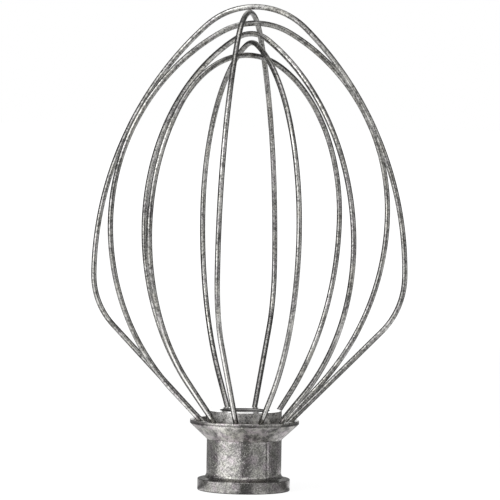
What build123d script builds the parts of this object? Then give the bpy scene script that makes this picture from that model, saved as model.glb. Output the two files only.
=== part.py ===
from build123d import *
import os
from math import atan2, cos, degrees, radians, sin, tan

os.makedirs("parts", exist_ok=True)

# Wire whip for a stand mixer: a cast hub with a socket for the mixer's shaft, six spring wire
# loops that cross at the crown, and a cap that holds the twelve wire ends in the hub's cup.
# The origin is the centre of the socket's mouth, +Z runs up the axis to the crown, -Y is the front.

# Wires
wire_dia = 2.0
loop_count = 6
leg_angle = 44.5            # of the straight legs, from the axis
lead_azimuth = -10.5        # plane of the outermost loop
crossing_gap = 0.1          # between the two outermost wires where they cross

# Hub casting
hub_height = 25.6
mouth_ring_dia = 33.6
mouth_ring_height = 4.8     # where it meets the neck
mouth_ring_fall = 0.6       # of its top face from the neck to its edge
mouth_ring_edge = 0.3
neck_inset = 3.2            # of the neck from the mouth ring's side
neck_fillet = 1.8
rim_dia = 39.6
rim_band = 1.3
rim_edge = 0.25
flare_angle = 47.0          # of the flare below the rim, from the axis
wire_inset = 2.9            # of the wire centres from the rim, at the hub's top face
groove_depth = 0.5          # of each half of a wire's seat, in the cup and in the cap
socket_inset = 7.3          # of the bottom centres of the wire sockets from the wires at the top
socket_clearance = 0.05     # around a wire
end_clearance = 0.3         # under a wire's end and under the cap's spigot
cup_depth = 4.1
bore_web = 1.5              # between the shaft socket and the recess for the cap's spigot

# Parting seam of the casting
seam_azimuth = -51.0
seam_width = 1.3
seam_height = 0.15

# Socket for the mixer's shaft
shaft_dia = 12.7
shaft_clearance = 0.1
bore_chamfer = 0.8
pin_dia = 4.0
pin_reach = 3.2             # of the shaft's cross pin past the shaft
pin_clearance = 0.25
pin_slot_azimuth = 90.0
pin_lock_height = 11.0      # of the locked pin above the mouth
pin_lock_turn = 36.0        # from the slot to the locked place

# Retainer cap
cap_inset = 3.4             # of its side from the wire centres at the hub's top face
cap_rise = 3.4              # of its top above the hub
cap_recess_depth = 0.9
cap_land = 4.5              # width of the flat ring around its recess
cap_edge = 0.2
spigot_inset = 1.6          # of the spigot's side from the socket bottoms
spigot_length = 1.2
spigot_clearance = 0.03

# Wire loops, the outermost first: rise of the crown above the hub, radius of the crown's arc, how
# far the crown leans along the loop's plane, and the tilt of that plane in degrees
outer_rise, outer_crown, outer_lean, outer_tilt = 149.6, 26.7, 1.4, 0.25
second_crown, second_lean, second_tilt = 31.3, 2.3, 0.0
third_rise, third_crown, third_lean, third_tilt = 143.7, 27.6, 2.3, 0.3
fourth_rise, fourth_crown, fourth_lean, fourth_tilt = 139.9, 15.1, -0.2, 0.2
fifth_rise, fifth_crown, fifth_lean, fifth_tilt = 136.7, 19.5, -6.9, 1.15
sixth_rise, sixth_crown, sixth_lean, sixth_tilt = 132.1, 44.9, 4.5, 1.05
# radii of the belly and of the bend below it, each with what one side has more than their mean
outer_belly, outer_belly_skew, outer_bend, outer_bend_skew = 57.3, 0.4, 27.2, 1.1
second_belly, second_belly_skew, second_bend, second_bend_skew = 56.4, 0.0, 33.7, 0.5
third_belly, third_belly_skew, third_bend, third_bend_skew = 53.2, 1.2, 88.0, 2.0
fourth_belly, fourth_belly_skew, fourth_bend, fourth_bend_skew = 50.0, -0.7, 79.3, -3.1
fifth_belly, fifth_belly_skew, fifth_bend, fifth_bend_skew = 52.7, -2.8, 85.1, -5.4
sixth_belly, sixth_belly_skew, sixth_bend, sixth_bend_skew = 52.7, 2.1, 84.4, -5.4

# the second loop's crown passes just under the outer one's
second_rise = outer_rise - wire_dia - crossing_gap
# plane in loop spacings from the outermost, its tilt, and the sizes above
loops = [
    (0, outer_tilt, outer_rise, outer_crown, outer_lean,
     outer_belly, outer_belly_skew, outer_bend, outer_bend_skew),
    (-3, second_tilt, second_rise, second_crown, second_lean,
     second_belly, second_belly_skew, second_bend, second_bend_skew),
    (1, third_tilt, third_rise, third_crown, third_lean,
     third_belly, third_belly_skew, third_bend, third_bend_skew),
    (-1, fourth_tilt, fourth_rise, fourth_crown, fourth_lean,
     fourth_belly, fourth_belly_skew, fourth_bend, fourth_bend_skew),
    (-2, fifth_tilt, fifth_rise, fifth_crown, fifth_lean,
     fifth_belly, fifth_belly_skew, fifth_bend, fifth_bend_skew),
    (-4, sixth_tilt, sixth_rise, sixth_crown, sixth_lean,
     sixth_belly, sixth_belly_skew, sixth_bend, sixth_bend_skew),
]

wire_radius = wire_dia / 2
ring_radius = mouth_ring_dia / 2
neck_radius = ring_radius - neck_inset
rim_radius = rim_dia / 2
wire_circle = rim_radius - wire_inset
socket_circle = wire_circle - socket_inset
cap_radius = wire_circle - cap_inset
spigot_radius = socket_circle - spigot_inset
bore_radius = shaft_dia / 2 + shaft_clearance
socket_radius = wire_radius + socket_clearance
loop_spacing = 180 / loop_count
leg_slope = tan(radians(leg_angle))
leg_out, leg_up = sin(radians(leg_angle)), cos(radians(leg_angle))
socket_height = hub_height - socket_inset / leg_slope
cup_floor = hub_height - cup_depth
spigot_bottom = cup_floor - spigot_length
bore_depth = spigot_bottom - end_clearance - bore_web
cap_top = hub_height + cap_rise


def cone_radius(height, outward):
    """Radius at a height of the cone that runs beside the legs, outward of them by that much."""
    return wire_circle + (height - hub_height) * leg_slope + outward / leg_up


seat_offset = wire_radius - groove_depth
flare_start = hub_height - rim_band - (rim_radius - neck_radius) / tan(radians(flare_angle))
cup_mouth = cone_radius(hub_height, seat_offset)
cup_floor_radius = cone_radius(cup_floor, seat_offset)
cap_floor_radius = cone_radius(cup_floor, -seat_offset)
cap_cone_top = hub_height + (cap_radius - wire_circle + seat_offset / leg_up) / leg_slope


def loop_plane(step, tilt):
    """Plane of a loop, x towards its first leg and y up, tilted about the line between its sockets."""
    turn, over = radians(lead_azimuth + step * loop_spacing), radians(tilt)
    return Plane(
        origin=(0, 0, socket_height),
        x_dir=(cos(turn), sin(turn), 0),
        z_dir=(sin(turn) * cos(over), -cos(turn) * cos(over), sin(over)),
    )


def leg_plane(plane, side):
    """Plane square to a leg at the bottom of its socket, facing up along the leg."""
    return Plane(
        origin=plane.from_local_coords((side * socket_circle, 0, 0)),
        z_dir=plane.x_dir * (side * leg_out) + plane.y_dir * leg_up,
    )


leg_planes = [leg_plane(loop_plane(*loop[:2]), side) for loop in loops for side in (1, -1)]

# Hub casting, turned about Z, with its cup, wire sockets and shaft socket cut in
with BuildPart() as hub:
    with BuildSketch(Plane.XZ):
        with BuildLine():
            Polyline(
                (0, 0),
                (ring_radius, 0),
                (ring_radius, mouth_ring_height - mouth_ring_fall),
                (neck_radius, mouth_ring_height),
                (neck_radius, flare_start),
                (rim_radius, hub_height - rim_band),
                (rim_radius, hub_height),
                (cup_mouth, hub_height),
                (cup_floor_radius, cup_floor),
                (0, cup_floor),
                close=True,
            )
        make_face()
    revolve(axis=Axis.Z)
    foot = hub.edges().filter_by(GeomType.CIRCLE).sort_by(Axis.Z)[2]
    fillet(foot, neck_fillet)
    ring_edges = hub.edges().filter_by(GeomType.CIRCLE).sort_by(Axis.Z)[:2]
    fillet(ring_edges, mouth_ring_edge)
    band_edges = hub.faces().filter_by(GeomType.CYLINDER).sort_by(Axis.Z)[-1].edges()
    fillet(band_edges.filter_by(GeomType.CIRCLE), rim_edge)

    # seam ribs on both sides of the neck
    with BuildSketch(Plane.XY.offset(mouth_ring_height)):
        with PolarLocations(neck_radius, 2, start_angle=seam_azimuth):
            Rectangle(2 * seam_height, seam_width)
    extrude(amount=flare_start - mouth_ring_height)

    # recess under the cup's floor for the cap's spigot
    with BuildSketch(Plane.XY.offset(cup_floor)):
        Circle(spigot_radius + spigot_clearance)
    extrude(amount=-spigot_length - end_clearance, mode=Mode.SUBTRACT)

    # seats and sockets of the twelve legs
    for plane in leg_planes:
        with BuildSketch(plane):
            Circle(socket_radius)
        extrude(amount=rim_dia, mode=Mode.SUBTRACT)

    # shaft socket
    with BuildSketch(Plane.XY):
        Circle(bore_radius)
    extrude(amount=bore_depth, mode=Mode.SUBTRACT)
    mouth = hub.faces().sort_by(Axis.Z)[0].edges().sort_by(SortBy.RADIUS)[0]
    chamfer(mouth, bore_chamfer)

    # slot up from the mouth for the shaft's cross pin, and the pocket that locks it
    pin_slot_width = pin_dia + 2 * pin_clearance
    pin_slot_radius = shaft_dia / 2 + pin_reach + pin_clearance
    with BuildSketch(Plane.XY):
        with Locations(Rotation(0, 0, pin_slot_azimuth)):
            Rectangle(pin_slot_radius, pin_slot_width, align=(Align.MIN, Align.CENTER))
    extrude(amount=pin_lock_height + pin_slot_width / 2, mode=Mode.SUBTRACT)
    with BuildSketch(Plane.XY.offset(pin_lock_height - pin_slot_width / 2)):
        pocket_start = pin_slot_azimuth - pin_lock_turn
        with BuildLine():
            arc = CenterArc((0, 0), pin_slot_radius, pocket_start, pin_lock_turn)
            Line((0, 0), arc @ 0)
            Line(arc @ 1, (0, 0))
        make_face()
    extrude(amount=pin_slot_width, mode=Mode.SUBTRACT)
hub.part.label = "hub"
export_step(hub.part, "parts/hub.step")

# Retainer cap: a turned plug with a recess in its top, grooved where it presses on the legs
with BuildPart() as retainer_cap:
    with BuildSketch(Plane.XZ):
        with BuildLine():
            Polyline(
                (0, spigot_bottom),
                (spigot_radius, spigot_bottom),
                (spigot_radius, cup_floor),
                (cap_floor_radius, cup_floor),
                (cap_radius, cap_cone_top),
                (cap_radius, cap_top),
                (cap_radius - cap_land, cap_top),
                (cap_radius - cap_land, cap_top - cap_recess_depth),
                (0, cap_top - cap_recess_depth),
                close=True,
            )
        make_face()
    revolve(axis=Axis.Z)
    fillet(retainer_cap.faces().sort_by(Axis.Z)[-1].edges(), cap_edge)
    for plane in leg_planes:
        with BuildSketch(plane):
            Circle(socket_radius)
        extrude(amount=rim_dia, mode=Mode.SUBTRACT)
retainer_cap.part.label = "retainer_cap"
export_step(retainer_cap.part, "parts/retainer_cap.step")


def wire_loop(plane, rise, crown, lean, belly, belly_skew, bend, bend_skew):
    """One wire: a straight leg, bend and flank on both sides, and the crown's arc between them."""
    apex = hub_height + rise - socket_height
    end_radius = socket_circle + end_clearance * leg_out
    end_height = end_clearance * leg_up
    halves = []
    for side in (1, -1):
        radius, reach = bend + side * bend_skew, side * lean
        width = belly + side * belly_skew
        # the bend is tangent to the leg, which sets the height of the widest point
        wide = ((width - radius - socket_circle) * leg_up + radius) / leg_out
        across, up = width - reach, apex - wide
        flank = (across**2 + up**2 - 2 * up * crown) / (2 * (across - crown))
        joint = degrees(atan2(up - crown, flank - across))
        halves.append((width - radius, radius, wide, width - flank, flank, joint))
    (near, radius, wide, centre, flank, joint), far_half = halves
    far, far_radius, far_wide, far_centre, far_flank, far_joint = far_half
    with BuildPart() as wire:
        with BuildLine(plane) as path:
            arc = CenterArc((near, wide), radius, -leg_angle, leg_angle)
            Line((end_radius, end_height), arc @ 0)
            CenterArc((centre, wide), flank, 0, joint)
            CenterArc((lean, apex - crown), crown, joint, 180 - joint - far_joint)
            CenterArc((-far_centre, far_wide), far_flank, 180 - far_joint, far_joint)
            arc = CenterArc((-far, far_wide), far_radius, 180, leg_angle)
            Line(arc @ 1, (-end_radius, end_height))
        with BuildSketch(Plane(origin=path.line @ 0, z_dir=path.line % 0)):
            Circle(wire_radius)
        sweep(path=path.line)
    return wire


for number, loop in enumerate(loops, start=1):
    wire = wire_loop(loop_plane(*loop[:2]), *loop[2:])
    name = f"wire_loop_{number}"
    wire.part.label = name
    export_step(wire.part, f"parts/{name}.step")
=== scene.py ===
import math
from typing import NamedTuple

import bpy
from bpy.props import FloatProperty, FloatVectorProperty, IntProperty, PointerProperty
from mathutils import Matrix, Vector


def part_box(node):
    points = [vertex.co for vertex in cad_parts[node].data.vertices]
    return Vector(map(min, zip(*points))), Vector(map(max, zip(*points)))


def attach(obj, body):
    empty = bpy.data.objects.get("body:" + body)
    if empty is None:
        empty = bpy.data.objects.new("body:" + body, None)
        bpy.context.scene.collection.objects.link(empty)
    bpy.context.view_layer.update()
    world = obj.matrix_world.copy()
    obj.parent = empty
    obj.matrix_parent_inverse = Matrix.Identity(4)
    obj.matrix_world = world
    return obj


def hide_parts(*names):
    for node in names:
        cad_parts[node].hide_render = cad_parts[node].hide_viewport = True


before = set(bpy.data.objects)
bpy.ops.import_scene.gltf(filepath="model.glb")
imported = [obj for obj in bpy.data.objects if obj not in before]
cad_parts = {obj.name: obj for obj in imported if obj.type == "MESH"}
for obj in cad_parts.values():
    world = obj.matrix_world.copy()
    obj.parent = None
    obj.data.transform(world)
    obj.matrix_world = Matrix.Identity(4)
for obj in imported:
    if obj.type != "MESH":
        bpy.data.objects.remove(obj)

bl_info = {
    "name": "Mixer Wire Whip",
    "version": (1, 0, 0),
    "blender": (4, 5, 0),
    "location": "View3D > Sidebar > Wire Whip",
    "description": "Dresses a stand mixer's wire whip and sets up its studio",
    "category": "Object",
}

MM = 0.001

# Heights and radii of the whip's parts where a finish changes
HUB_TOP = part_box("hub")[1].z
CAP_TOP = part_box("retainer_cap")[1].z
NECK_FOOT = 4.8 * MM
FLARE_FOOT = 18.0 * MM
NECK_RADIUS = 13.6 * MM
MOUTH_RADIUS = 16.8 * MM
RIM_RADIUS = 19.8 * MM
CUP_INSIDE = (12.5 * MM, 13.2 * MM)
CUP_OUTSIDE = (17.6 * MM, 18.2 * MM)
CAP_RADIUS = 13.5 * MM
CAP_RECESS = 9.0 * MM
SEAM_AZIMUTH = math.radians(-51.0)
CAGE_CENTRE = (0.0, 0.0, 90.0 * MM)

# The painted light on the front legs: up to which height, and how far a surface there has to face
# out, down and forward
LEG_LIGHT_HEIGHTS = (50.0 * MM, 72.0 * MM)
FACING_OUT = (0.55, 0.95)
FACING_DOWN = (0.12, 0.4)
FACING_FORWARD = (0.48, 0.66)


class LoopForm(NamedTuple):
    """A wire loop: its plane in steps from the first one's, its tilt in degrees, then millimetres."""

    plane: int
    tilt: float
    crown: float
    lean: float
    belly: float
    belly_skew: float
    bend: float
    bend_skew: float


# The crown leans along the loop's plane, and a skew is what one side has more than the mean
LOOP_FORMS = {
    "wire_loop_1": LoopForm(0, 0.25, 26.7, 1.4, 57.3, 0.4, 27.2, 1.1),
    "wire_loop_2": LoopForm(-3, 0.0, 31.3, 2.3, 56.4, 0.0, 33.7, 0.5),
    "wire_loop_3": LoopForm(1, 0.3, 27.6, 2.3, 53.2, 1.2, 88.0, 2.0),
    "wire_loop_4": LoopForm(-1, 0.2, 15.1, -0.2, 50.0, -0.7, 79.3, -3.1),
    "wire_loop_5": LoopForm(-2, 1.15, 19.5, -6.9, 52.7, -2.8, 85.1, -5.4),
    "wire_loop_6": LoopForm(-4, 1.05, 44.9, 4.5, 52.7, 2.1, 84.4, -5.4),
}


class Value:
    """A shader socket that grows Math nodes when it is used in an expression."""

    def __init__(self, graph, socket):
        self.graph = graph
        self.socket = socket

    def math(self, operation, *others):
        values = dict(enumerate((self, *others)))
        return self.graph.node("ShaderNodeMath", {"operation": operation}, values)

    def __add__(self, other):
        return self.math("ADD", other)

    def __sub__(self, other):
        return self.math("SUBTRACT", other)

    def __rsub__(self, other):
        return self.graph.node("ShaderNodeMath", {"operation": "SUBTRACT"}, {0: other, 1: self})

    def __neg__(self):
        return self * -1.0

    def __mul__(self, other):
        return self.math("MULTIPLY", other)

    def __truediv__(self, other):
        return self.math("DIVIDE", other)

    __radd__ = __add__
    __rmul__ = __mul__

    def step(self, low, high):
        """0 below low, 1 above high and smooth between them."""
        settings = {"interpolation_type": "SMOOTHSTEP"}
        values = {"Value": self, "From Min": low, "From Max": high}
        return self.graph.node("ShaderNodeMapRange", settings, values)

    def band(self, low, high, soft):
        """1 between low and high, fading to 0 over the soft width on both sides."""
        return self.step(low - soft, low + soft) * (1 - self.step(high - soft, high + soft))


def set_stops(ramp, stops):
    """Give a new ramp its stops of place and colour."""
    for element, (place, colour) in zip(ramp.elements, (stops[0], stops[-1])):
        element.position = place
        element.color = (*colour, 1.0)
    for place, colour in stops[1:-1]:
        ramp.elements.new(place).color = (*colour, 1.0)


class Graph:
    """A node tree, and the few ways in which its nodes are made."""

    def __init__(self, tree):
        self.tree = tree
        tree.nodes.clear()

    def node(self, kind, settings=None, inputs=None, output=0):
        """A node of a type: its settings first, then the values or links of its sockets."""
        made = self.tree.nodes.new(kind)
        for name, value in (settings or {}).items():
            if name == "stops":
                set_stops(made.color_ramp, value)
            else:
                setattr(made, name, value)
        for name, value in (inputs or {}).items():
            if isinstance(value, Value):
                self.tree.links.new(value.socket, made.inputs[name])
            else:
                made.inputs[name].default_value = value
        return Value(self, made.outputs[output]) if made.outputs else None

    def axes(self, vector):
        """The three numbers of a vector."""
        split = self.node("ShaderNodeSeparateXYZ", None, {"Vector": vector}).socket.node
        return [Value(self, output) for output in split.outputs]

    def ramp(self, factor, stops):
        """A colour ramp over a factor, from stops of place and colour."""
        return self.node("ShaderNodeValToRGB", {"stops": stops}, {"Fac": factor})

    def mix(self, factor, first, second, blend="MIX"):
        """Two colours mixed by a factor. A plain colour is three numbers."""
        pair = [c if isinstance(c, Value) else (*c, 1.0) for c in (first, second)]
        settings = {"data_type": "RGBA", "blend_type": blend}
        return self.node("ShaderNodeMix", settings, {0: factor, 6: pair[0], 7: pair[1]}, output=2)

    def noise(self, place, scale, detail=2.0, roughness=0.5, distortion=0.0):
        """Fractal noise of a size in cycles for each metre, from 0 to 1."""
        values = {"Vector": place, "Scale": scale, "Detail": detail}
        values.update({"Roughness": roughness, "Distortion": distortion})
        return self.node("ShaderNodeTexNoise", None, values)

    def stretched(self, place, scale):
        """A place with each axis scaled by itself, so that a pattern on it is drawn out."""
        return self.node("ShaderNodeMapping", None, {"Vector": place, "Scale": scale})


def new_material(name):
    material = bpy.data.materials.new(name)
    material.use_nodes = True
    return material, Graph(material.node_tree)


def finish_metal(graph, colour, roughness, height, distance):
    """The metal shader that ends a material, with its varying colour, roughness and bump."""
    bump = graph.node(
        "ShaderNodeBump", None, {"Strength": 1.0, "Distance": distance, "Height": height}
    )
    values = {"Base Color": colour, "Roughness": roughness, "Normal": bump, "Metallic": 1.0}
    shader = graph.node("ShaderNodeBsdfPrincipled", None, values)
    graph.node("ShaderNodeOutputMaterial", None, {"Surface": shader})


def object_place(graph):
    """Object coordinates as a vector, with the radius, height and azimuth about the whip's axis."""
    place = graph.node("ShaderNodeTexCoord", None, None, output="Object")
    x, y, z = graph.axes(place)
    radius = (x * x + y * y).math("SQRT")
    return place, radius, z, y.math("ARCTAN2", x)


# Tints of the metals, as stops of a ramp, and the colours of painted shade and of painted light on
# the front legs
HUB_TINTS = [(0.38, (0.985, 0.99, 0.94)), (0.5, (1.0, 0.99, 0.98)), (0.62, (0.97, 0.9, 0.96))]
WIRE_TINTS = [(0.35, (1.0, 0.98, 0.94)), (0.5, (1.0, 1.0, 0.99)), (0.65, (0.98, 0.95, 0.98))]
CAP_POLISH = [(0.0, (0.76, 0.75, 0.74)), (1.0, (0.86, 0.855, 0.85))]
PAINTED_SHADE_DARK = (0.02, 0.019, 0.018)
RECESS_SHADE = (0.03, 0.029, 0.028)
PAINTED_LEG_LIGHT = (0.9, 0.885, 0.86)


def hub_metal(sizes):
    """Burnished casting: mottled grey, paler on the flare, a darker mouth ring, and painted shade in
    corners, in the cup, under the rim and beside the seam rib.
    """
    material, graph = new_material("burnished_casting")
    place, radius, z, azimuth = object_place(graph)
    blotch = graph.noise(place, 420.0, 4.0, 0.62)
    speck = graph.noise(place, 1900.0, 3.0, 0.7)
    stain = graph.noise(place, 130.0, 3.0, 0.55, 0.6)
    pits = graph.noise(place, 1500.0, 2.0, 0.6).step(0.54, 0.74)
    flare = z.band(FLARE_FOOT + 0.4 * MM, HUB_TOP - 1.3 * MM, 0.3 * MM)
    flare = flare * radius.step(NECK_RADIUS, NECK_RADIUS + 0.6 * MM)
    tone = blotch * 0.26 + speck * 0.56 + stain * 0.18 + flare * (blotch * 0.6 - 0.26)
    dark = Vector(sizes.metal_dark)
    light = Vector(sizes.metal_light)
    shades = [(0.0, dark), (0.5, dark.lerp(light, 0.5)), (1.0, light)]
    colour = graph.ramp(tone.step(0.38, 0.63), shades)
    tinge = graph.ramp(graph.noise(place, 260.0, 4.0, 0.65), HUB_TINTS)
    colour = graph.mix(1.0, colour, tinge, "MULTIPLY")
    ring = 1 - z.step(NECK_FOOT - 0.5 * MM, NECK_FOOT)
    # Painted shadow in the corner at the neck's foot, where it meets the mouth ring
    foot_shade = (z - NECK_FOOT).band(-0.1 * MM, 0.2 * MM, 0.15 * MM)
    foot_shade = foot_shade * (1 - radius.step(NECK_RADIUS + 1.0 * MM, NECK_RADIUS + 2.0 * MM))
    # Painted shade in the cup between the cap and the rim, where the wires go in
    cup = radius.step(*CUP_INSIDE) * (1 - radius.step(*CUP_OUTSIDE))
    cup = cup * z.step(HUB_TOP - 2.0 * MM, HUB_TOP - 1.2 * MM)
    # Painted shade on a band of the rim's outside, under its top edge
    edge = z.band(HUB_TOP - 1.25 * MM, HUB_TOP - 0.6 * MM, 0.12 * MM)
    edge = edge * radius.step(RIM_RADIUS - 1.2 * MM, RIM_RADIUS - 0.8 * MM)
    # Painted shade: thin dark lines either side of the seam rib
    rib = (azimuth - SEAM_AZIMUTH).math("SINE").math("ABSOLUTE") * radius
    seam = rib.band(0.6 * MM, 0.85 * MM, 0.08 * MM) * z.band(NECK_FOOT, FLARE_FOOT, 0.2 * MM)
    # Share of the colour kept from the dark: the mouth ring is darker all round, and every other mask
    # here is painted shade
    clean = 1 - ring * 0.4 - foot_shade * 0.3 - cup * 0.5 - edge * 0.5 - seam * 0.8
    colour = graph.mix(clean, PAINTED_SHADE_DARK, colour)
    roughness = 0.12 + blotch * 0.08 + speck * 0.08 + cup * 0.3 + flare * 0.1
    height = blotch * 0.15 + speck * 0.1 - pits * (1 + flare)
    finish_metal(graph, colour, roughness, height, 0.056 * MM)
    return material


def cap_metal(sizes):
    """Turned cap: mottled side, polished top with faint turning rings and painted shade on the recess
    wall.
    """
    material, graph = new_material("turned_cap")
    place, radius, z = object_place(graph)[:3]
    blotch = graph.noise(place, 520.0, 4.0, 0.65)
    speck = graph.noise(place, 2100.0, 3.0, 0.7)
    tone = blotch * 0.4 + speck * 0.6
    shades = [(0.0, Vector(sizes.metal_dark)), (1.0, Vector(sizes.metal_light))]
    side = graph.ramp(tone.step(0.4, 0.56), shades)
    polished = graph.ramp(tone.step(0.3, 0.7), CAP_POLISH)
    top = z.step(CAP_TOP - 1.15 * MM, CAP_TOP - 0.95 * MM)
    top = top * (1 - radius.step(CAP_RADIUS - 0.4 * MM, CAP_RADIUS - 0.2 * MM))
    # Painted shade on the recess wall
    wall = top * radius.band(CAP_RECESS - 0.04 * MM, CAP_RECESS + 0.12 * MM, 0.03 * MM)
    # A band below the top where the painted shade on the recess wall is weaker
    rubbed = 0.45 * z.band(CAP_TOP - 0.65 * MM, CAP_TOP - 0.3 * MM, 0.12 * MM)
    colour = graph.mix(top, side, polished)
    colour = graph.mix(wall * (1 - rubbed) * 0.92, colour, RECESS_SHADE)
    rings = (radius * 9000.0).math("SINE") * 0.5 + graph.noise(place, 900.0, 2.0) * 0.6
    height = rings * top * 0.06 + (speck * 1.2 + blotch * 0.5) * (1 - top)
    roughness = 0.26 + blotch * 0.14 - top * 0.2 + wall * 0.4
    finish_metal(graph, colour, roughness, height, 0.04 * MM)
    return material


def leg_light_mask(graph, place):
    """Where painted light brightens the outer sides of the front legs near the hub, as if lit from
    the front.
    """
    vector = "ShaderNodeVectorMath"
    outward = graph.node(vector, {"operation": "SUBTRACT"}, {0: place, 1: CAGE_CENTRE})
    outward = graph.node(vector, {"operation": "NORMALIZE"}, {0: outward})
    normal = graph.node("ShaderNodeNewGeometry", None, None, output="Normal")
    outer = graph.node(vector, {"operation": "DOT_PRODUCT"}, {0: outward, 1: normal}, "Value")
    _, back, up = graph.axes(normal)
    low = 1 - graph.axes(place)[2].step(*LEG_LIGHT_HEIGHTS)
    below, ahead = (-up).step(*FACING_DOWN), (-back).step(*FACING_FORWARD)
    return outer.step(*FACING_OUT) * below * low * ahead


def wire_metal(sizes):
    """Drawn stainless wire: fine lines along the wire, mottled scuffs and painted light on the front
    legs.
    """
    material, graph = new_material("drawn_wire")
    lay = graph.node("ShaderNodeAttribute", {"attribute_name": "wire_lay"}, None, "Vector")
    place = graph.node("ShaderNodeTexCoord", None, None, "Object")
    drawn = graph.noise(graph.stretched(lay, (1.0, 14.0, 14.0)), 150.0, 3.0, 0.6)
    scuff = graph.noise(place, 620.0, 4.0, 0.65)
    speck = graph.noise(place, 1500.0, 2.0, 0.6)
    stain = graph.noise(place, 90.0, 2.0, 0.5)
    tone = drawn * 0.2 + scuff * 0.3 + speck * 0.35 + stain * 0.15
    shades = [(0.0, Vector(sizes.wire_dark)), (1.0, Vector(sizes.wire_light))]
    colour = graph.ramp(tone.step(0.41, 0.59), shades)
    tinge = graph.ramp(graph.noise(place, 170.0, 3.0, 0.6), WIRE_TINTS)
    colour = graph.mix(1.0, colour, tinge, "MULTIPLY")
    # Painted light: those sides of the front legs are mixed halfway toward a pale colour
    colour = graph.mix(leg_light_mask(graph, place) * 0.5, colour, PAINTED_LEG_LIGHT)
    roughness = 0.1 + scuff * 0.1 + drawn * 0.08
    height = drawn * 0.6 + speck * 0.5
    finish_metal(graph, colour, roughness, height, 0.015 * MM)
    return material


class WhipSizes(bpy.types.PropertyGroup):
    wire_diameter: FloatProperty(
        name="Wire Diameter", description="Of the spring wire", default=2.0 * MM, unit="LENGTH"
    )
    lead_azimuth: FloatProperty(
        name="Lead Azimuth",
        description="Plane of the outermost loop",
        default=math.radians(-10.5),
        subtype="ANGLE",
    )
    loop_spacing: FloatProperty(
        name="Loop Spacing",
        description="Between the planes of two loops",
        default=math.radians(30.0),
        subtype="ANGLE",
    )
    leg_angle: FloatProperty(
        name="Leg Angle",
        description="Of the straight legs from the axis",
        default=math.radians(44.5),
        subtype="ANGLE",
    )
    leg_radius: FloatProperty(
        name="Leg Radius",
        description="From the axis to a leg's centre at the hub's top",
        default=16.9 * MM,
        unit="LENGTH",
    )
    socket_radius: FloatProperty(
        name="Socket Radius",
        description="From the axis to the bottom centre of a wire's socket in the hub",
        default=9.6 * MM,
        unit="LENGTH",
    )
    end_gap: FloatProperty(
        name="End Gap",
        description="Under a wire's end in its socket",
        default=0.3 * MM,
        unit="LENGTH",
    )
    sides: IntProperty(name="Sides", description="Facets around a wire", default=20, min=8)
    metal_dark: FloatVectorProperty(
        name="Dark Metal",
        description="In the hub's blotches",
        default=(0.2, 0.197, 0.194),
        subtype="COLOR",
    )
    metal_light: FloatVectorProperty(
        name="Light Metal",
        description="Where the hub is rubbed",
        default=(0.75, 0.735, 0.715),
        subtype="COLOR",
    )
    wire_dark: FloatVectorProperty(
        name="Dark Wire",
        description="In the wire's stains",
        default=(0.14, 0.139, 0.136),
        subtype="COLOR",
    )
    wire_light: FloatVectorProperty(
        name="Light Wire",
        description="Where the wire is clean",
        default=(0.62, 0.617, 0.6),
        subtype="COLOR",
    )


class StudioSizes(bpy.types.PropertyGroup):
    metres_per_pixel: FloatProperty(
        name="Metres per Pixel",
        description="Of the photograph at the whip's axis",
        default=0.363 * MM,
        precision=6,
    )
    rim_pixel: FloatVectorProperty(
        name="Rim Pixel",
        description="Where the photograph shows the axis at the hub's rim, in its 500 pixel frame",
        size=2,
        default=(244.55, 421.17),
    )
    rim_height: FloatProperty(
        name="Rim Height",
        description="Of that point above the mouth",
        default=25.0 * MM,
        unit="LENGTH",
    )
    distance: FloatProperty(
        name="Camera Distance", description="From the whip's axis", default=1.452, unit="LENGTH"
    )
    pitch: FloatProperty(
        name="Camera Pitch", description="Looking down", default=0.047, subtype="ANGLE"
    )
    roll: FloatProperty(
        name="Camera Roll", description="Of the whip to the right", default=0.0165, subtype="ANGLE"
    )
    floor_reach: FloatProperty(
        name="Floor Reach", description="Of the floor from the whip", default=8.0, unit="LENGTH"
    )
    floor_white: FloatProperty(
        name="Floor White",
        description="Plain white that the camera sees in the floor",
        default=0.9,
        subtype="FACTOR",
    )
    floor_shade: FloatProperty(
        name="Floor Shade",
        description="Share of the floor's light and shadow that the camera sees over that white",
        default=0.3,
        subtype="FACTOR",
    )
    tent_radius: FloatProperty(
        name="Tent Radius", description="Of the ring of panels", default=0.9, unit="LENGTH"
    )
    tent_height: FloatProperty(
        name="Tent Height", description="Of the panels and the lid", default=1.1, unit="LENGTH"
    )
    tent_light: FloatProperty(
        name="Tent Light", description="Strength of the brightest panel", default=2.1
    )
    card_radius: FloatProperty(
        name="Card Radius", description="Of the cards round the hub", default=0.075, unit="LENGTH"
    )
    card_height: FloatProperty(
        name="Card Height", description="Of the cards round the hub", default=0.028, unit="LENGTH"
    )
    card_light: FloatProperty(
        name="Card Light", description="Strength of the brightest card", default=1.35
    )
    lamp_power: FloatProperty(
        name="Lamp Power", description="Of the key lamp", default=1.2, unit="POWER"
    )


PHOTO_SIDE = 500
SENSOR = 36.0


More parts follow.
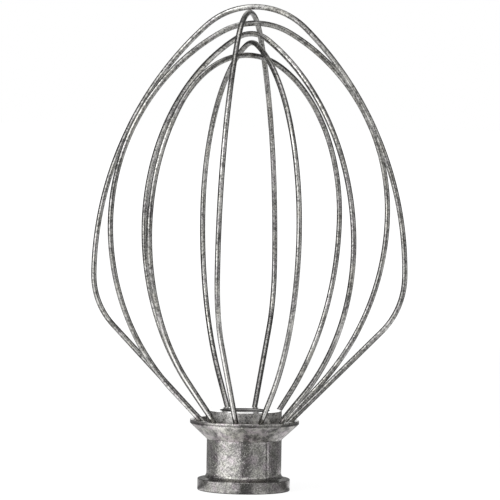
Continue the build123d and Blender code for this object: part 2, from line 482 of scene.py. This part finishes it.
class WHIP_OT_camera(bpy.types.Operator):
    """Stand the camera where the photograph was taken"""

    bl_idname = "whip.camera"
    bl_label = "Camera"

    def execute(self, context):
        sizes = context.scene.whip_studio
        turn = Matrix.Rotation(sizes.roll, 3, "Y") @ Matrix.Rotation(sizes.pitch, 3, "X")
        right, forward, up = (turn.row[i].copy() for i in range(3))
        aside = (sizes.rim_pixel[0] - PHOTO_SIDE / 2) * sizes.metres_per_pixel
        above = (PHOTO_SIDE / 2 - sizes.rim_pixel[1]) * sizes.metres_per_pixel
        rim = Vector((0, 0, sizes.rim_height))
        place = rim - right * aside - forward * sizes.distance - up * above
        data = bpy.data.cameras.new("camera")
        data.sensor_width = SENSOR
        data.lens = SENSOR * sizes.distance / (PHOTO_SIDE * sizes.metres_per_pixel)
        data.clip_start = 0.05
        data.clip_end = 20.0
        camera = bpy.data.objects.new("camera", data)
        camera.matrix_world = Matrix(
            [(right[i], up[i], -forward[i], place[i]) for i in range(3)] + [(0, 0, 0, 1)]
        )
        context.scene.collection.objects.link(camera)
        context.scene.camera = camera
        return {"FINISHED"}


def arc_points(centre, radius, start, sweep, spacing):
    """Points along an arc in the loop's plane, without its last one."""
    count = max(2, round(abs(sweep) * radius / spacing))
    angles = (start + sweep * n / count for n in range(count))
    return [(centre[0] + radius * math.cos(a), centre[1] + radius * math.sin(a)) for a in angles]


def half_loop(sizes, form, apex, side):
    """Centre line of one side of a loop, from the wire's end up to the crown's highest point."""
    out, up = math.sin(sizes.leg_angle), math.cos(sizes.leg_angle)
    crown, reach = form.crown * MM, side * form.lean * MM
    width = (form.belly + side * form.belly_skew) * MM
    radius = (form.bend + side * form.bend_skew) * MM
    wide = ((width - radius - sizes.socket_radius) * up + radius) / out
    across, rise = width - reach, apex - wide
    flank = (across**2 + rise**2 - 2 * rise * crown) / (2 * (across - crown))
    turn = math.atan2(rise - crown, flank - across)
    spacing = sizes.wire_diameter * 0.8
    points = [(sizes.socket_radius + sizes.end_gap * out, sizes.end_gap * up)]
    points += arc_points((width - radius, wide), radius, -sizes.leg_angle, sizes.leg_angle, spacing)
    points += arc_points((width - flank, wide), flank, 0, turn, spacing)
    points += arc_points((reach, apex - crown), crown, turn, math.pi / 2 - turn, spacing)
    return [(side * x, y) for x, y in points]


def loop_outline(sizes, form, apex):
    """Centre line of one loop in its own plane, as distance from the axis and height."""
    near, far = (half_loop(sizes, form, apex, side) for side in (1, -1))
    return near + [(form.lean * MM, apex)] + far[::-1]


def kept_on_points(graph, curve, name, output):
    """A curve that keeps a number of its spline on its points, and that number."""
    number = graph.node("GeometryNodeSplineParameter", None, None, output)
    keeper = graph.node("GeometryNodeCaptureAttribute", {"domain": "POINT"}, {"Geometry": curve})
    node = keeper.socket.node
    node.capture_items.new("FLOAT", name)
    graph.tree.links.new(number.socket, node.inputs[name])
    return Value(graph, node.outputs["Geometry"]), Value(graph, node.outputs[name])


def sweep_tree():
    """Geometry nodes that sweep a round wire along its centre line and note where it lies."""
    tree = bpy.data.node_groups.new("sweep_wire", "GeometryNodeTree")
    names = {}
    for name, kind in (
        ("Geometry", "NodeSocketGeometry"),
        ("Wire Radius", "NodeSocketFloat"),
        ("Sides", "NodeSocketInt"),
        ("Material", "NodeSocketMaterial"),
    ):
        made = tree.interface.new_socket(name, in_out="INPUT", socket_type=kind)
        names[name] = made.identifier
    tree.interface.new_socket("Geometry", in_out="OUTPUT", socket_type="NodeSocketGeometry")
    graph = Graph(tree)
    given = graph.node("NodeGroupInput").socket.node
    line, radius, sides, material = (Value(graph, given.outputs[i]) for i in range(4))
    ring = graph.node(
        "GeometryNodeCurvePrimitiveCircle",
        {"mode": "RADIUS"},
        {"Resolution": sides, "Radius": radius},
    )
    line, along = kept_on_points(graph, line, "Along", "Length")
    ring, turn = kept_on_points(graph, ring, "Turn", "Factor")
    tube = graph.node(
        "GeometryNodeCurveToMesh",
        None,
        {"Curve": line, "Profile Curve": ring, "Fill Caps": True},
    )
    angle = turn * (2 * math.pi)
    lay = graph.node(
        "ShaderNodeCombineXYZ",
        None,
        {"X": along, "Y": angle.math("COSINE") * radius, "Z": angle.math("SINE") * radius},
    )
    stored = graph.node(
        "GeometryNodeStoreNamedAttribute",
        {"data_type": "FLOAT_VECTOR", "domain": "POINT"},
        {"Geometry": tube, "Name": "wire_lay", "Value": lay},
    )
    smooth = graph.node("GeometryNodeSetShadeSmooth", {"domain": "FACE"}, {"Geometry": stored})
    whole = graph.node("GeometryNodeRealizeInstances", None, {"Geometry": smooth})
    dressed = graph.node(
        "GeometryNodeSetMaterial", None, {"Geometry": whole, "Material": material}
    )
    graph.node("NodeGroupOutput", None, {0: dressed})
    return tree, names


def swept_wire(context, tree, names, sizes, node, material):
    """One wire loop as a mesh, made by the tree along that loop's centre line."""
    form = LOOP_FORMS[node]
    radius = sizes.wire_diameter / 2
    tilt = math.radians(form.tilt)
    foot = HUB_TOP - (sizes.leg_radius - sizes.socket_radius) / math.tan(sizes.leg_angle)
    apex = (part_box(node)[1].z - radius - foot) / math.cos(tilt)
    turn = sizes.lead_azimuth + form.plane * sizes.loop_spacing
    along = Vector((math.cos(turn), math.sin(turn), 0))
    aside = Vector((-math.sin(turn), math.cos(turn), 0))
    upward = aside * math.sin(tilt) + Vector((0, 0, math.cos(tilt)))
    outline = loop_outline(sizes, form, apex)
    curve = bpy.data.curves.new(f"{node}_line", "CURVE")
    curve.dimensions = "3D"
    spline = curve.splines.new("POLY")
    spline.points.add(len(outline) - 1)
    for point, (reach, height) in zip(spline.points, outline):
        point.co = (*(along * reach + upward * height + Vector((0, 0, foot))), 1.0)
    guide = bpy.data.objects.new(f"{node}_guide", curve)
    context.scene.collection.objects.link(guide)
    modifier = guide.modifiers.new("sweep", "NODES")
    modifier.node_group = tree
    modifier[names["Wire Radius"]] = radius
    modifier[names["Sides"]] = sizes.sides
    modifier[names["Material"]] = material
    context.view_layer.update()
    depsgraph = context.evaluated_depsgraph_get()
    mesh = bpy.data.meshes.new_from_object(guide.evaluated_get(depsgraph))
    bpy.data.objects.remove(guide)
    bpy.data.curves.remove(curve)
    piece = bpy.data.objects.new(f"{node}_drawn", mesh)
    context.scene.collection.objects.link(piece)
    return piece


class WHIP_OT_wires(bpy.types.Operator):
    """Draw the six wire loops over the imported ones"""

    bl_idname = "whip.wires"
    bl_label = "Wires"

    def execute(self, context):
        sizes = context.scene.whip_sizes
        material = wire_metal(sizes)
        tree, names = sweep_tree()
        for node in LOOP_FORMS:
            piece = swept_wire(context, tree, names, sizes, node, material)
            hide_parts(node)
            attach(piece, "root")
        return {"FINISHED"}


def dress(node, material):
    """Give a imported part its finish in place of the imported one."""
    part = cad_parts[node]
    part.data.materials.clear()
    part.data.materials.append(material)


class WHIP_OT_hub(bpy.types.Operator):
    """Finish the hub casting and the cap in it"""

    bl_idname = "whip.hub"
    bl_label = "Hub and Cap"

    def execute(self, context):
        sizes = context.scene.whip_sizes
        dress("hub", hub_metal(sizes))
        dress("retainer_cap", cap_metal(sizes))
        return {"FINISHED"}


# Panels of the light tent: azimuth from the camera's side in degrees, and how bright it is there
TENT_PANELS = [
    (-180, 0.6),
    (-168, 0.6),
    (-162, 0.04),
    (-72, 0.04),
    (-61, 1.0),
    (-23, 1.0),
    (-13, 0.06),
    (12, 0.05),
    (24, 0.17),
    (60, 0.2),
    (66, 0.45),
    (80, 0.45),
    (88, 0.04),
    (162, 0.04),
    (168, 0.6),
    (180, 0.6),
]

# Softboxes high in the tent: azimuths of their sides, heights where they come up, brightness
SOFTBOXES = [
    (-105, -55, 0.4, 0.8, 0.34),
    (-55, -12, 0.18, 0.26, 0.7),
    (-12, 24, 0.1, 0.55, 0.42),
    (24, 85, 0.2, 0.34, 0.36),
]

# Where the panels, their tops and the lid dim, by height and by radius, with the brightness there
PANELS_DIM, PANELS_DARK = (0.12, 0.3), 0.05
TOPS_DIM, TOPS_DARK = (0.8, 1.0), 0.08
LID_DIM, LID_LIGHT, LID_DARK = (0.3, 0.5), 0.6, 0.1
# The azimuths where the tops and the lid stay bright
BRIGHT_SIDE = (-60, 12)
LID_DEPTH = 0.02
TENT_FOOT = 0.002

# Cards that stand close round the hub, in the same way as the tent's panels
CARD_PANELS = [
    (-180, 0.18),
    (-84, 0.18),
    (-70, 1.0),
    (-16, 0.8),
    (-6, 0.14),
    (14, 0.14),
    (22, 0.3),
    (62, 0.4),
    (65, 0.7),
    (71, 0.7),
    (75, 0.15),
    (180, 0.18),
]

# Sheets just over the floor: under the flare, out to the cards, and on to the tent, whose near
# part has its own brightness. The first two begin alike
SHEET_HEIGHT = 0.2 * MM
SHEET_GAP = 0.4 * MM
FLARE_SHEET = 30.0 * MM
NEAR_REACH = (0.08, 0.22)
SHEET_PANELS = [
    (-180, 0.45),
    (-115, 0.45),
    (-105, 0.16),
    (-86, 0.16),
    (-76, 1.2),
    (-11, 1.2),
    (-7, 0.14),
]
FLARE_PANELS = SHEET_PANELS + [
    (12, 0.14),
    (16, 1.0),
    (28, 0.9),
    (36, 0.4),
    (70, 0.4),
    (84, 0.14),
    (102, 0.14),
    (112, 0.85),
    (150, 0.7),
    (180, 0.45),
]
RING_PANELS = SHEET_PANELS + [
    (14, 0.14),
    (20, 0.45),
    (66, 0.35),
    (80, 0.12),
    (112, 0.12),
    (122, 0.6),
    (180, 0.45),
]
NEAR_PANELS = [
    (-180, 0.5),
    (-90, 0.5),
    (-60, 0.75),
    (-30, 0.95),
    (-8, 0.8),
    (30, 0.75),
    (70, 0.75),
    (110, 0.55),
    (180, 0.5),
]
FLOOR_PANELS = [
    (-180, 0.4),
    (-80, 0.42),
    (-60, 0.65),
    (-40, 0.9),
    (-24, 0.9),
    (-4, 0.36),
    (28, 0.34),
    (50, 0.48),
    (90, 0.48),
    (120, 0.4),
    (180, 0.4),
]


# The floor's grey for light and for the camera, and the lamp
FLOOR_GREY = (0.5, 0.5, 0.5)
FLOOR_PALE = 0.8
LAMP_SIZE = (0.4, 0.5)
LAMP_PLACE = (-0.5, -0.45, 0.62)
LAMP_AIM = (0.0, 0.0, 0.06)
RING_SIDES = 72


def staged(scene, name, corners, faces):
    """A piece of the stage, made of plain faces."""
    mesh = bpy.data.meshes.new(name)
    mesh.from_pydata(corners, [], faces)
    piece = bpy.data.objects.new(name, mesh)
    scene.collection.objects.link(piece)
    return piece


def panel_ring(scene, name, first, second, lid=False):
    """A ring between two circles, each given as radius and height, hidden from the camera."""
    count = RING_SIDES
    turns = [2 * math.pi * n / count for n in range(count)]
    corners = [
        (radius * math.cos(a), radius * math.sin(a), height)
        for radius, height in (first, second)
        for a in turns
    ]
    faces = [(n, (n + 1) % count, count + (n + 1) % count, count + n) for n in range(count)]
    if lid:
        faces.append(tuple(range(count, 2 * count)))
    piece = staged(scene, name, corners, faces)
    piece.visible_camera = False
    return piece


def turned(azimuth):
    """An azimuth from the camera's side in degrees, as a share of the turn round the whip."""
    return azimuth / 360 + 0.5


class PanelLight:
    """The glow of a ring by azimuth, and by what covers it from place to place."""

    def __init__(self, name, panels):
        self.material, self.graph = new_material(name)
        place = self.graph.node("ShaderNodeTexCoord", None, None, "Object")
        self.x, self.y, self.height = self.graph.axes(place)
        self.turn = self.x.math("ARCTAN2", -self.y) / (2 * math.pi) + 0.5
        self.colour = self.by_azimuth(panels)

    def by_azimuth(self, panels):
        stops = [(turned(azimuth), (share,) * 3) for azimuth, share in panels]
        return self.graph.ramp(self.turn, stops)

    def sector(self, first, last, soft):
        """1 between two azimuths, fading over a soft share of the turn on both sides."""
        return self.turn.band(turned(first), turned(last), soft)

    def distance(self):
        """From the whip's axis."""
        return (self.x * self.x + self.y * self.y).math("SQRT")

    def cover(self, mask, light):
        """Put another light where a mask is 1, given as a brightness or as a ramp."""
        other = light if isinstance(light, Value) else (light,) * 3
        self.colour = self.graph.mix(mask, self.colour, other)

    def finish(self, level):
        values = {"Color": self.colour, "Strength": level}
        glow = self.graph.node("ShaderNodeEmission", None, values)
        self.graph.node("ShaderNodeOutputMaterial", None, {"Surface": glow})
        return self.material


def tent_light(sizes):
    """Light of the tent: its panels, the softboxes high in it and the lid."""
    light = PanelLight("tent_panels", TENT_PANELS)
    height = light.height
    light.cover(height.step(*PANELS_DIM) * 0.6, PANELS_DARK)
    for first, last, low, high, share in SOFTBOXES:
        light.cover(height.step(low, high) * light.sector(first, last, 0.01), share)
    dim = 1 - light.sector(*BRIGHT_SIDE, 0.03)
    light.cover(height.step(*TOPS_DIM) * dim * 0.7, TOPS_DARK)
    edge = light.distance().step(*LID_DIM) * dim
    lid = light.graph.mix(edge, (LID_LIGHT,) * 3, (LID_DARK,) * 3)
    lid_foot = sizes.tent_height - LID_DEPTH
    light.cover(height.step(lid_foot, lid_foot + LID_DEPTH / 2), lid)
    return light.finish(sizes.tent_light)


class WHIP_OT_studio(bpy.types.Operator):
    """Set the white floor, the light tent round the whip, the lamp and the world"""

    bl_idname = "whip.studio"
    bl_label = "Studio"

    def execute(self, context):
        scene = context.scene
        sizes = scene.whip_studio
        scene.view_settings.view_transform = "Standard"
        self.floor(scene, sizes)
        self.tent(scene, sizes)
        self.near_lights(scene, sizes)
        self.world(scene)
        self.lamp(scene, sizes)
        return {"FINISHED"}

    def floor(self, scene, sizes):
        """A white floor, of whose light and shadow the camera sees a share."""
        reach = sizes.floor_reach
        corners = [(-reach, -reach, 0), (reach, -reach, 0), (reach, reach, 0), (-reach, reach, 0)]
        floor = staged(scene, "floor", corners, [(0, 1, 2, 3)])
        material, graph = new_material("studio_floor")
        seen = graph.node("ShaderNodeLightPath", None, None, "Is Camera Ray")
        pale = graph.mix(seen, FLOOR_GREY, (FLOOR_PALE * sizes.floor_shade,) * 3)
        matt = graph.node("ShaderNodeBsdfDiffuse", None, {"Color": pale})
        white = graph.mix(seen, (0, 0, 0), (sizes.floor_white,) * 3)
        glow = graph.node("ShaderNodeEmission", None, {"Color": white, "Strength": 1.0})
        both = graph.node("ShaderNodeAddShader", None, {0: matt, 1: glow})
        graph.node("ShaderNodeOutputMaterial", None, {"Surface": both})
        floor.data.materials.append(material)

    def tent(self, scene, sizes):
        """A tent of panels round the whip, which light and reflections see."""
        foot, top = (sizes.tent_radius, TENT_FOOT), (sizes.tent_radius, sizes.tent_height)
        tent = panel_ring(scene, "light_tent", foot, top, lid=True)
        tent.data.materials.append(tent_light(sizes))

    def near_lights(self, scene, sizes):
        """Cards round the hub and sheets over the floor, which only reflections see."""
        foot, top = (sizes.card_radius, SHEET_HEIGHT), (sizes.card_radius, sizes.card_height)
        rings = [("hub_cards", foot, top, CARD_PANELS, "card_panels")]
        edge = (MOUTH_RADIUS + SHEET_GAP, SHEET_HEIGHT)
        for name, reach, panels in (
            ("flare_sheet", FLARE_SHEET, FLARE_PANELS),
            ("ring_sheet", sizes.card_radius, RING_PANELS),
            ("floor_sheet", sizes.tent_radius, FLOOR_PANELS),
        ):
            rings.append((name, edge, (reach, SHEET_HEIGHT), panels, f"{name}_panels"))
            edge = (reach, SHEET_HEIGHT)
        for name, first, second, panels, material in rings:
            piece = panel_ring(scene, name, first, second)
            light = PanelLight(material, panels)
            if name == "floor_sheet":
                near = 1 - light.distance().step(*NEAR_REACH)
                light.cover(near, light.by_azimuth(NEAR_PANELS))
            piece.data.materials.append(light.finish(sizes.card_light))
            piece.visible_diffuse = False
            piece.visible_shadow = False

    def world(self, scene):
        world = bpy.data.worlds.new("studio")
        world.use_nodes = True
        scene.world = world
        graph = Graph(world.node_tree)
        glow = graph.node("ShaderNodeBackground", None, {"Color": (1, 1, 1, 1), "Strength": 1.0})
        graph.node("ShaderNodeOutputWorld", None, {"Surface": glow})

    def lamp(self, scene, sizes):
        data = bpy.data.lights.new("key", "AREA")
        data.shape = "RECTANGLE"
        data.size, data.size_y = LAMP_SIZE
        data.energy = sizes.lamp_power
        lamp = bpy.data.objects.new("key", data)
        lamp.location = LAMP_PLACE
        aim = Vector(LAMP_AIM) - lamp.location
        lamp.rotation_euler = aim.to_track_quat("-Z", "Y").to_euler()
        scene.collection.objects.link(lamp)


class WHIP_PT_sidebar(bpy.types.Panel):
    """The whip's operators and sizes"""

    bl_label = "Wire Whip"
    bl_idname = "WHIP_PT_sidebar"
    bl_space_type = "VIEW_3D"
    bl_region_type = "UI"
    bl_category = "Wire Whip"

    def draw(self, context):
        for operator in (WHIP_OT_camera, WHIP_OT_wires, WHIP_OT_hub, WHIP_OT_studio):
            self.layout.operator(operator.bl_idname)
        for group in (context.scene.whip_sizes, context.scene.whip_studio):
            for name in group.__annotations__:
                self.layout.prop(group, name)


CLASSES = (
    WhipSizes,
    StudioSizes,
    WHIP_OT_camera,
    WHIP_OT_wires,
    WHIP_OT_hub,
    WHIP_OT_studio,
    WHIP_PT_sidebar,
)


def register():
    for cls in CLASSES:
        bpy.utils.register_class(cls)
    bpy.types.Scene.whip_sizes = PointerProperty(type=WhipSizes)
    bpy.types.Scene.whip_studio = PointerProperty(type=StudioSizes)


def unregister():
    del bpy.types.Scene.whip_studio
    del bpy.types.Scene.whip_sizes
    for cls in reversed(CLASSES):
        bpy.utils.unregister_class(cls)


def main():
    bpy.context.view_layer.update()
    register()
    bpy.ops.whip.camera()
    bpy.ops.whip.wires()
    bpy.ops.whip.hub()
    bpy.ops.whip.studio()


if __name__ == "__main__":
    main()
